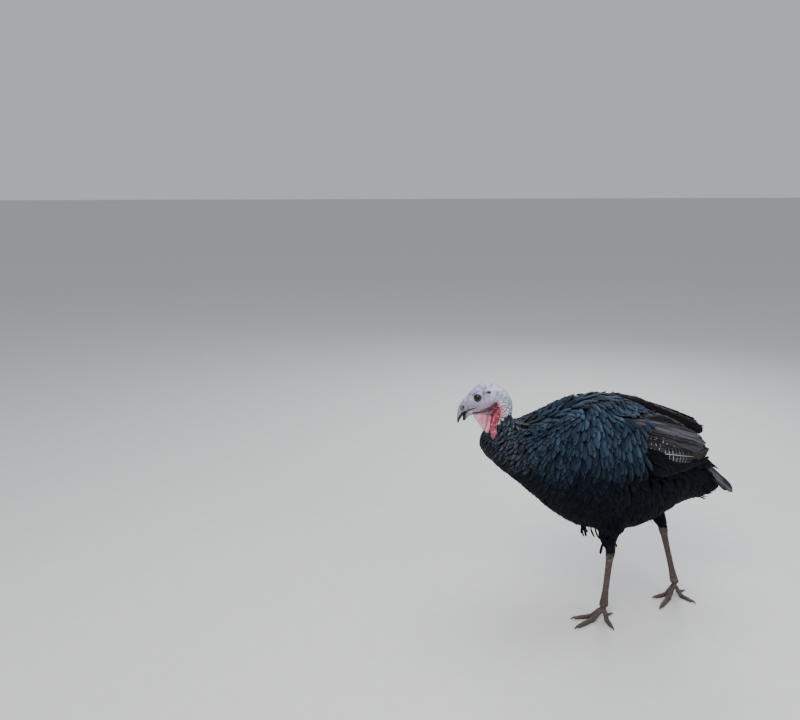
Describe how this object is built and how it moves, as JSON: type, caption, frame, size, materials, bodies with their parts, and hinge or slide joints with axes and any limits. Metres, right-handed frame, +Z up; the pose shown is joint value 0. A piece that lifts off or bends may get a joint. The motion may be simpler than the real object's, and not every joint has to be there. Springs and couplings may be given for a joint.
{
  "type": "domestic turkey",
  "caption": "Life-size still model of a black domestic turkey hen walking with its head drawn back and its bill pointing down.",
  "frame": {"origin": "middle of the part's box, on the floor", "axes": "-Y is ahead of the bird, the way its bill points, +X is the bird's left, +Z is up"},
  "size_m": [0.2234, 0.5234, 0.4685],
  "materials": {
    "plumage": "black contour feathers with a slate-blue and teal gloss",
    "quills": "brown-black flight and tail feathers with pale bars and shafts",
    "bare_skin": "pale lavender bare skin, beaded behind",
    "red_skin": "red fleshy lobes, slightly moist",
    "pale_skin": "thin pale pink fold of throat skin",
    "horn": "grey horn, pale at the base and dark along the edge",
    "claw": "dark horn claws",
    "leg_skin": "brownish grey scaled skin",
    "eye": "wet dark eye"
  },
  "bodies": {
    "root": {"trunk": "plumage", "neck_feathered": "plumage", "rump": "plumage", "tail": "quills", "wing_left": "plumage", "secondaries_left": "quills", "primaries_left": "quills", "wing_right": "plumage", "secondaries_right": "quills", "primaries_right": "quills", "head": "bare_skin", "neck_bare": "bare_skin", "snood": "bare_skin", "bill_upper": "horn", "bill_lower": "horn", "eye_left": "eye", "eye_right": "eye", "dewlap": "pale_skin", "wattle_left": "red_skin", "wattle_right": "red_skin", "thigh_left": "plumage", "shank_left": "leg_skin", "toe_middle_left": "leg_skin", "claw_middle_left": "claw", "toe_inner_left": "leg_skin", "claw_inner_left": "claw", "toe_outer_left": "leg_skin", "claw_outer_left": "claw", "toe_hind_left": "leg_skin", "claw_hind_left": "claw", "thigh_right": "plumage", "shank_right": "leg_skin", "toe_middle_right": "leg_skin", "claw_middle_right": "claw", "toe_inner_right": "leg_skin", "claw_inner_right": "claw", "toe_outer_right": "leg_skin", "claw_outer_right": "claw", "toe_hind_right": "leg_skin", "claw_hind_right": "claw"}
  },
  "joints": []
}
